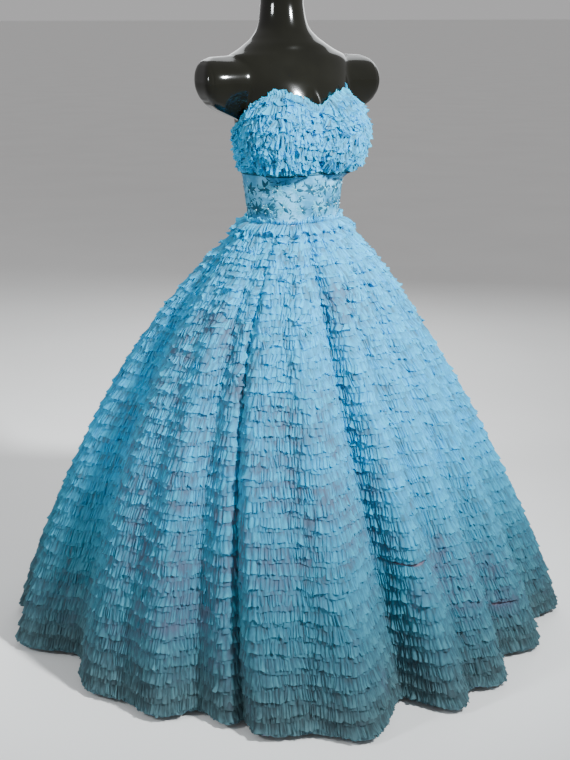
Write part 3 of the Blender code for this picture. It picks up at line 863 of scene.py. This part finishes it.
def bodice_panel(panel, surface, start, end, seconds, material, numbers=None):
    """A fitted panel of the bodice that replaces its solid, with its flat size."""
    degs = np.linspace(start, end, round((end - start) / BODICE_STEP_DEG) + 1)
    deg, second = np.meshgrid(degs, seconds)
    points = surface(deg, second)
    faces = grid_faces(len(seconds), len(degs))
    made = add_mesh(f"{panel}_cloth", points, faces, material, numbers(deg) if numbers else None)
    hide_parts(panel)
    width = run_of(points[len(seconds) // 2])
    return made, (round(width, 3), round(area_of(points, faces) / width, 3))


def under_numbers(deg):
    """What the net's material reads on the plain cloth."""
    return {
        "tone": UNDER_TONE + 0 * deg,
        "down": UNDER_DOWN + 0 * deg,
        "along": np.radians(deg) * UNDER_RADIUS,
        "veil": 0 * deg,
    }


def build_bust(panel, start, end, rows, seed):
    """A bust panel: the cloth under it, its rows of ruffle, and the frill at the neckline."""
    shares = np.linspace(1.0, 0.0, BUST_RINGS)
    cloth, flat = bodice_panel(panel, bust_surface, start, end, shares, net, under_numbers)
    for row in range(rows):
        low = LOWEST_EDGE + (1 - LOWEST_EDGE) * row / rows
        high = min(low + 1 / rows + BUST_OVERLAP, HIGHEST_GATHERS)
        style = BUST_FRILL if row else LOWEST_FRILL
        made, flat = ruffle(
            f"{panel}_ruffle_{row + 1:02d}", bust_surface, (start, end, (low + high) / 2), BUST_STEPS, style,
            BUST_DEPTH, between(high, low), seed + row, closed=False, segments=BUST_SEGMENTS,
        )
    made, flat = ruffle(
        f"{panel}_neck_frill", bust_surface, (start, end, 1.0), BUST_STEPS, NECK_FRILL, NECK_DEPTH,
        between(*NECK_SHARES), seed + NECK_SEED_STEP, closed=False,
    )


MIDRIFF_RINGS = 40


def build_midriff(panel, start, end):
    """A plain satin panel of the midriff."""
    heights = np.linspace(UNDERBUST_Z, WAIST_Z, MIDRIFF_RINGS)
    made, flat = bodice_panel(panel, midriff_surface, start, end, heights, satin)


HEADING_FRILL = WAIST_FRILL._replace(
    flare=0.009, edge_swing=0.003, lean=0.004, lift=0.004, uneven=0.004, curl=0.002, flip=0.0, wander=0.0,
    shade=0.6,
)
WAIST_DEPTH, HEADING_DEPTH = 0.036, 0.012
WAIST_RISE, WAIST_FALL, WAIST_MEASURED_AT = 0.002, 0.026, 0.02
WAIST_SEED, HEADING_SEED = 77, 78
HEADING_SEGMENTS = 3


def build_waist_ruffle():
    """The first ruffle: its fall over the skirt, and its heading, which stands up in front of the midriff."""
    made, flat = ruffle(
        "waist_ruffle_cloth", skirt_surface, (0.0, 360.0, WAIST_Z - WAIST_MEASURED_AT), FINE_STEPS,
        WAIST_FRILL, WAIST_DEPTH, between(WAIST_Z + WAIST_RISE, WAIST_Z - WAIST_FALL), WAIST_SEED,
    )
    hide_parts("waist_ruffle")
    heading, _ = ruffle(
        "waist_ruffle_heading", midriff_surface, (0.0, 360.0, WAIST_Z), FINE_STEPS, HEADING_FRILL,
        HEADING_DEPTH, between(WAIST_Z, WAIST_Z + HEADING_DEPTH), HEADING_SEED, segments=HEADING_SEGMENTS,
    )


# Embroidered sprigs, stitches and beads on the midriff

Leaf = namedtuple("Leaf", "deg z angle length width height bend")
LEAF_STATIONS = np.linspace(0, 1, 6)
LEAF_SIDES = np.array([-1.0, 0.0, 1.0])
# How near a leaf's ends its width and its height stop shrinking, and how its widest place moves to its root
LEAF_TIP, LEAF_CREST_TIP, LEAF_TAPER = 0.02, 0.06, 0.8
LEAF_SEAT = 0.0002


def leaves(name, rows, material, seat=LEAF_SEAT):
    """Raised leaf shapes in satin stitch, in one mesh."""
    deg, z, angle, length, width, height, bend = (np.array(c)[:, None, None] for c in zip(*rows))
    u, v = LEAF_STATIONS[None, :, None], LEAF_SIDES[None, None, :]
    half = width / 2 * np.sin(np.pi * np.clip(u, LEAF_TIP, 1 - LEAF_TIP) ** LEAF_TAPER) * v
    ahead = length * u
    aside = half + bend * length * (u - u * u)
    east = ahead * np.cos(angle) - aside * np.sin(angle)
    north = ahead * np.sin(angle) + aside * np.cos(angle)
    place_deg, place_z = deg + np.degrees(east / form_radius(deg, z)), z + north
    crest = np.sqrt(np.sin(np.pi * np.clip(u, LEAF_CREST_TIP, 1 - LEAF_CREST_TIP)))
    off = seat + height * (1 - np.abs(v)) * crest
    points = midriff_surface(place_deg, place_z)
    points = points + outward(midriff_surface, place_deg, place_z) * off[..., None]
    one = grid_faces(len(LEAF_STATIONS), len(LEAF_SIDES))
    each = len(LEAF_STATIONS) * len(LEAF_SIDES)
    faces = (one[None] + each * np.arange(len(rows))[:, None, None]).reshape(-1, 4)
    made = add_mesh(name, points, faces, material)
    return made


BEAD_RINGS, BEAD_SIDES = 4, 7
BEAD_POLE_GAP = 0.15
BEAD_STAND, BEAD_SEAT = 0.5, 0.0004


def bead_cluster(name, rows, material):
    """Faceted glass beads, each row (deg, z, radius), in one mesh."""
    rings = np.linspace(BEAD_POLE_GAP, np.pi - BEAD_POLE_GAP, BEAD_RINGS)
    polar, turn = np.meshgrid(rings, np.arange(BEAD_SIDES) * 2 * np.pi / BEAD_SIDES, indexing="ij")
    unit = np.stack([np.sin(polar) * np.cos(turn), np.sin(polar) * np.sin(turn), np.cos(polar)], -1)
    unit = unit.reshape(-1, 3)
    points, faces = [], []
    for deg, z, radius in rows:
        middle = midriff_surface(np.array(deg), np.array(z))
        normal = outward(midriff_surface, np.array(deg), np.array(z))
        faces.append(grid_faces(BEAD_RINGS, BEAD_SIDES, True) + len(unit) * len(points))
        points.append(unit * radius + middle + normal * (radius * BEAD_STAND + BEAD_SEAT))
    made = add_mesh(name, np.concatenate(points), np.concatenate(faces), material)
    made.data.shade_flat()
    return made


# Height and shift round the midriff of each row of sprigs
SPRIG_ROWS = [(1.043, 0.0), (1.087, 13.0)]
SPRIGS_ROUND = 18
SPRIG_SEED = 41
SPRIG_STRAY_DEG, SPRIG_STRAY_Z = 4, 0.005
LEAF_COUNTS = (7, 10)
LEAF_TURN = 0.25
LEAF_LENGTHS, LEAF_SLIMNESS, LEAF_BEND, LEAF_HEIGHT = (0.012, 0.022), (0.34, 0.48), 0.45, 0.0011
DARK_SHARE = 0.7
STEMS = 5
STEM_LENGTHS, STEM_WIDTH, STEM_HEIGHT, STEM_BEND = (0.018, 0.027), 0.0014, 0.0006, 0.3
BUD_TURNS = (-0.9, 0.0, 0.9)
BUD_LENGTHS, BUD_WIDTH, BUD_HEIGHT, BUD_BEND = (0.007, 0.011), 0.0032, 0.0008, 0.2
# How far stems and beads keep from the waist and from the seam under the bust
STEM_FROM_WAIST, STEM_FROM_BUST = 0.012, 0.01
BEAD_FROM_WAIST, BEAD_FROM_BUST = 0.014, 0.008
MIDDLE_BEAD, SMALL_BEAD, SMALL_BEADS = 0.0016, 0.0009, 4
BEAD_REACHES = (0.008, 0.02)
MIDRIFF_RADIUS = 0.11


def away(deg, z, angle, reach):
    """The angle and height at a distance over the midriff."""
    return deg + np.degrees(reach * np.cos(angle) / MIDRIFF_RADIUS), z + reach * np.sin(angle)


def build_embroidery():
    """Leafy sprigs in two threads, with a bead in the middle of each and a few round it."""
    rng = np.random.default_rng(SPRIG_SEED)
    dark, light, gems = [], [], []
    for height, shift in SPRIG_ROWS:
        for n in range(SPRIGS_ROUND):
            deg = shift + n * 360 / SPRIGS_ROUND + rng.uniform(-SPRIG_STRAY_DEG, SPRIG_STRAY_DEG)
            z = height + rng.uniform(-SPRIG_STRAY_Z, SPRIG_STRAY_Z)
            count = rng.integers(*LEAF_COUNTS)
            turn = rng.uniform(0, 2 * np.pi)
            for k in range(count):
                angle = turn + 2 * np.pi * k / count + rng.uniform(-LEAF_TURN, LEAF_TURN)
                size = rng.uniform(*LEAF_LENGTHS)
                width = size * rng.uniform(*LEAF_SLIMNESS)
                leaf = Leaf(deg, z, angle, size, width, LEAF_HEIGHT, rng.uniform(-LEAF_BEND, LEAF_BEND))
                (dark if rng.uniform() < DARK_SHARE else light).append(leaf)
            for _ in range(STEMS):
                angle = turn + rng.uniform(0, 2 * np.pi)
                reach = rng.uniform(*STEM_LENGTHS)
                out_deg, out_z = away(deg, z, angle, reach)
                if not WAIST_Z + STEM_FROM_WAIST < out_z < UNDERBUST_Z - STEM_FROM_BUST:
                    continue
                bend = rng.uniform(-STEM_BEND, STEM_BEND)
                light.append(Leaf(deg, z, angle, reach, STEM_WIDTH, STEM_HEIGHT, bend))
                for side in BUD_TURNS:
                    size = rng.uniform(*BUD_LENGTHS)
                    bud = Leaf(out_deg, out_z, angle + side, size, BUD_WIDTH, BUD_HEIGHT, BUD_BEND * side)
                    (dark if side else light).append(bud)
            gems.append((deg, z, MIDDLE_BEAD))
            for _ in range(SMALL_BEADS):
                angle = rng.uniform(0, 2 * np.pi)
                far_deg, far_z = away(deg, z, angle, rng.uniform(*BEAD_REACHES))
                far_z = min(max(far_z, WAIST_Z + BEAD_FROM_WAIST), UNDERBUST_Z - BEAD_FROM_BUST)
                gems.append((far_deg, far_z, SMALL_BEAD))
    leaves("midriff_sprigs_teal", dark, teal_thread)
    leaves("midriff_sprigs_aqua", light, aqua_thread, LEAF_SEAT / 2)
    bead_cluster("midriff_beads", gems, beads)


PLACKET_DEG = (170.0, 190.0)
PLACKET_COLUMNS, PLACKET_RINGS = 21, 30
PLACKET_OFF = 0.0016
PLACKET_OVER = 0.0005
# How far the placket's edges turn in, and over how many degrees
TURN_IN, TURN_IN_DEG = 0.0012, 0.5
STITCH_STEP, STITCH_LENGTH, STITCH_WIDTH, STITCH_HEIGHT = 0.0045, 0.003, 0.0009, 0.0004
STITCH_FROM_EDGE_DEG = 1.6
STITCH_FROM_WAIST, STITCH_FROM_BUST = 0.004, 0.006
STITCH_SEAT = 0.0001


def placket_surface(deg, z):
    """The outside of the lap over the centre back, a little proud of the midriff."""
    return at(deg, form_radius(deg, z) + FORM_CLEARANCE + CLOTH + PLACKET_OFF, z)


def build_placket():
    """The lap over the centre back, with its edges turned in and a row of stitches beside each."""
    degs = np.linspace(*PLACKET_DEG, PLACKET_COLUMNS)
    heights = np.linspace(UNDERBUST_Z - PLACKET_OVER, WAIST_Z + PLACKET_OVER, PLACKET_RINGS)
    deg, z = np.meshgrid(degs, heights)
    points = placket_surface(deg, z)
    edge = np.minimum(deg - PLACKET_DEG[0], PLACKET_DEG[1] - deg)
    turned = TURN_IN * np.exp(-edge / TURN_IN_DEG)
    points -= outward(placket_surface, deg, z) * turned[..., None]
    faces = grid_faces(len(heights), len(degs))
    made = add_mesh("back_placket_cloth", points, faces, satin)
    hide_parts("back_placket")
    rows = []
    for stitch_deg in (PLACKET_DEG[0] + STITCH_FROM_EDGE_DEG, PLACKET_DEG[1] - STITCH_FROM_EDGE_DEG):
        for height in np.arange(WAIST_Z + STITCH_FROM_WAIST, UNDERBUST_Z - STITCH_FROM_BUST, STITCH_STEP):
            stitch = Leaf(stitch_deg, height, np.pi / 2, STITCH_LENGTH, STITCH_WIDTH, STITCH_HEIGHT, 0.0)
            rows.append(stitch)
    stitches = leaves("back_placket_stitches", rows, aqua_thread, PLACKET_OFF + STITCH_SEAT)


PIPING_RADIUS, PIPING_STAND = 0.0014, 0.6
PIPING_STEP_DEG, PIPING_SIDES = 1.5, 8


def build_piping():
    """The corded seam between the bust and the midriff."""
    degs = np.arange(0, 360, PIPING_STEP_DEG)
    turns = np.arange(PIPING_SIDES) * 2 * np.pi / PIPING_SIDES
    deg, turn = np.meshgrid(degs, turns, indexing="ij")
    z = UNDERBUST_Z + 0 * deg
    normal = outward(midriff_surface, deg, z)
    points = midriff_surface(deg, z) + normal * (PIPING_RADIUS * (PIPING_STAND + np.cos(turn)))[..., None]
    points[..., 2] += PIPING_RADIUS * np.sin(turn)
    around = grid_faces(len(degs) + 1, PIPING_SIDES, True) % (len(degs) * PIPING_SIDES)
    made = add_mesh("underbust_piping", points, around, teal_thread)
    return made


# The form's columns over a quarter turn as start, end and step, finest round the joint of each arm plate, and
# its rings as lowest, highest and count
FORM_COLUMNS = [(0, 70, 2.5), (70, 76, 1.0), (76, 82, 0.2), (82, 90, 1.0)]
FORM_RINGS = [(FORM_BOTTOM_Z, 1.23, 50), (1.236, 1.386, 60), (1.389, FORM_TOP_Z, 40)]
JOINT_X, JOINT_WIDTH, JOINT_DEPTH = 0.2215, 0.0016, 0.0016
CLEFT_DEPTH, CLEFT_WIDTH_DEG = 0.009, 5.0
CLEFT_Z, CLEFT_HEIGHT = 1.265, 0.055
SHARP_DEG = 42


def cleft(deg, z):
    """The groove down the middle of the form's chest."""
    across = np.exp(-((wrapped(deg) / CLEFT_WIDTH_DEG) ** 2))
    return CLEFT_DEPTH * across * ease(1 - np.abs(z - CLEFT_Z) / CLEFT_HEIGHT)


def build_form():
    """The form's torso in finer steps than its solid."""
    quarter = np.concatenate([np.arange(*stretch) for stretch in FORM_COLUMNS])
    half = np.concatenate([quarter, [90.0], 180 - quarter[:0:-1]])
    degs = np.concatenate([half, half + 180])
    heights = np.concatenate([np.linspace(*stretch) for stretch in FORM_RINGS])
    deg, z = np.meshgrid(degs, heights)
    radius = form_radius(deg, z)
    reach = np.abs(radius * np.sin(np.radians(deg)))
    joint = JOINT_DEPTH * np.exp(-(((reach - JOINT_X) / JOINT_WIDTH) ** 2))
    points = at(deg, radius - cleft(deg, z) - joint, z)[::-1]
    rows, columns = deg.shape
    quads = [tuple(q) for q in grid_faces(rows, columns, True)]
    last = (rows - 1) * columns
    caps = [tuple(range(columns)), tuple(range(last + columns - 1, last - 1, -1))]
    mesh = bpy.data.meshes.new("form_torso_smooth")
    mesh.from_pydata([tuple(p) for p in points.reshape(-1, 3)], [], quads + caps)
    mesh.materials.append(gloss)
    mesh.shade_smooth()
    mesh.set_sharp_from_angle(angle=math.radians(SHARP_DEG))
    made = add_object("form_torso_smooth", mesh)
    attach(made, "root")
    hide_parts("form_torso")


build_form()
build_gores()
build_skirt_rows()
build_waist_ruffle()
for bust_panel in BUST_PANELS:
    build_bust(*bust_panel)
piping = build_piping()
build_midriff("midriff_front", -90.0, 90.0)
build_midriff("midriff_back_left", 90.0, 180.0)
build_midriff("midriff_back_right", 180.0, 270.0)
build_embroidery()
build_placket()
for node in ("form_pole", "form_base"):
    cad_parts[node].data.materials.clear()
    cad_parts[node].data.materials.append(steel)

# Floor, lights and camera

FLOOR_REACH, FLOOR_Z = 300, -0.0005
WORLD_COLOR, WORLD_STRENGTH = (0.93, 0.92, 0.93, 1), 0.5
CAMERA_AZIMUTH = math.radians(-32.0)
RIGHTWARD = np.array([math.cos(CAMERA_AZIMUTH), math.sin(CAMERA_AZIMUTH), 0])
TOWARD = np.array([math.sin(CAMERA_AZIMUTH), -math.cos(CAMERA_AZIMUTH), 0])
CAMERA_DISTANCE, CAMERA_HEIGHT = 3.07, 1.47
CAMERA_PITCH = math.radians(15.8)
FOCAL_PX, FRAME_HEIGHT_PX, SENSOR_MM = 1292.0, 760.0, 36.0
# Soft round lights, placed from the gown's middle as seen from the camera, and aimed at a height on its axis
Light = namedtuple("Light", "name right toward up size watts color aim_z spread_deg")
LIGHTS = [
    Light("key", 1.7, 1.7, 2.5, 0.32, 44, (0.94, 0.98, 1.0), 1.0, 65.0),
    Light("fill", -2.4, 1.8, 2.2, 0.5, 16, (0.92, 0.97, 1.0), 1.0, 90.0),
    Light("back", 0.4, -2.6, 2.6, 3.4, 80, (0.95, 0.98, 1.0), 0.9, 180.0),
]


def add_floor():
    corners = [(-1, -1), (1, -1), (1, 1), (-1, 1)]
    mesh = bpy.data.meshes.new("floor")
    mesh.from_pydata([(x * FLOOR_REACH, y * FLOOR_REACH, 0) for x, y in corners], [], [(0, 1, 2, 3)])
    mesh.materials.append(floor_material())
    floor = add_object("floor", mesh)
    floor.location.z = FLOOR_Z


def add_world():
    world = bpy.data.worlds.new("studio")
    world.use_nodes = True
    background = world.node_tree.nodes["Background"]
    background.inputs["Color"].default_value = WORLD_COLOR
    background.inputs["Strength"].default_value = WORLD_STRENGTH
    bpy.context.scene.world = world


def add_light(light):
    place = RIGHTWARD * light.right + TOWARD * light.toward + np.array([0, 0, light.up])
    data = bpy.data.lights.new(light.name, "AREA")
    data.shape, data.size, data.energy, data.color = "DISK", light.size, light.watts, light.color
    data.spread = math.radians(light.spread_deg)
    made = add_object(light.name, data)
    made.location = place
    aim = np.array([0, 0, light.aim_z]) - place
    tilt, heading = math.atan2(math.hypot(aim[0], aim[1]), -aim[2]), math.atan2(aim[1], aim[0])
    made.rotation_euler = (tilt, 0, heading - math.pi / 2)


def add_camera():
    data = bpy.data.cameras.new("camera")
    data.sensor_width = SENSOR_MM
    data.lens = FOCAL_PX * SENSOR_MM / FRAME_HEIGHT_PX
    camera = add_object("camera", data)
    camera.location = TOWARD * CAMERA_DISTANCE + np.array([0, 0, CAMERA_HEIGHT])
    camera.rotation_euler = (math.pi / 2 - CAMERA_PITCH, 0, CAMERA_AZIMUTH)
    bpy.context.scene.camera = camera


add_floor()
add_world()
for light in LIGHTS:
    add_light(light)
add_camera()
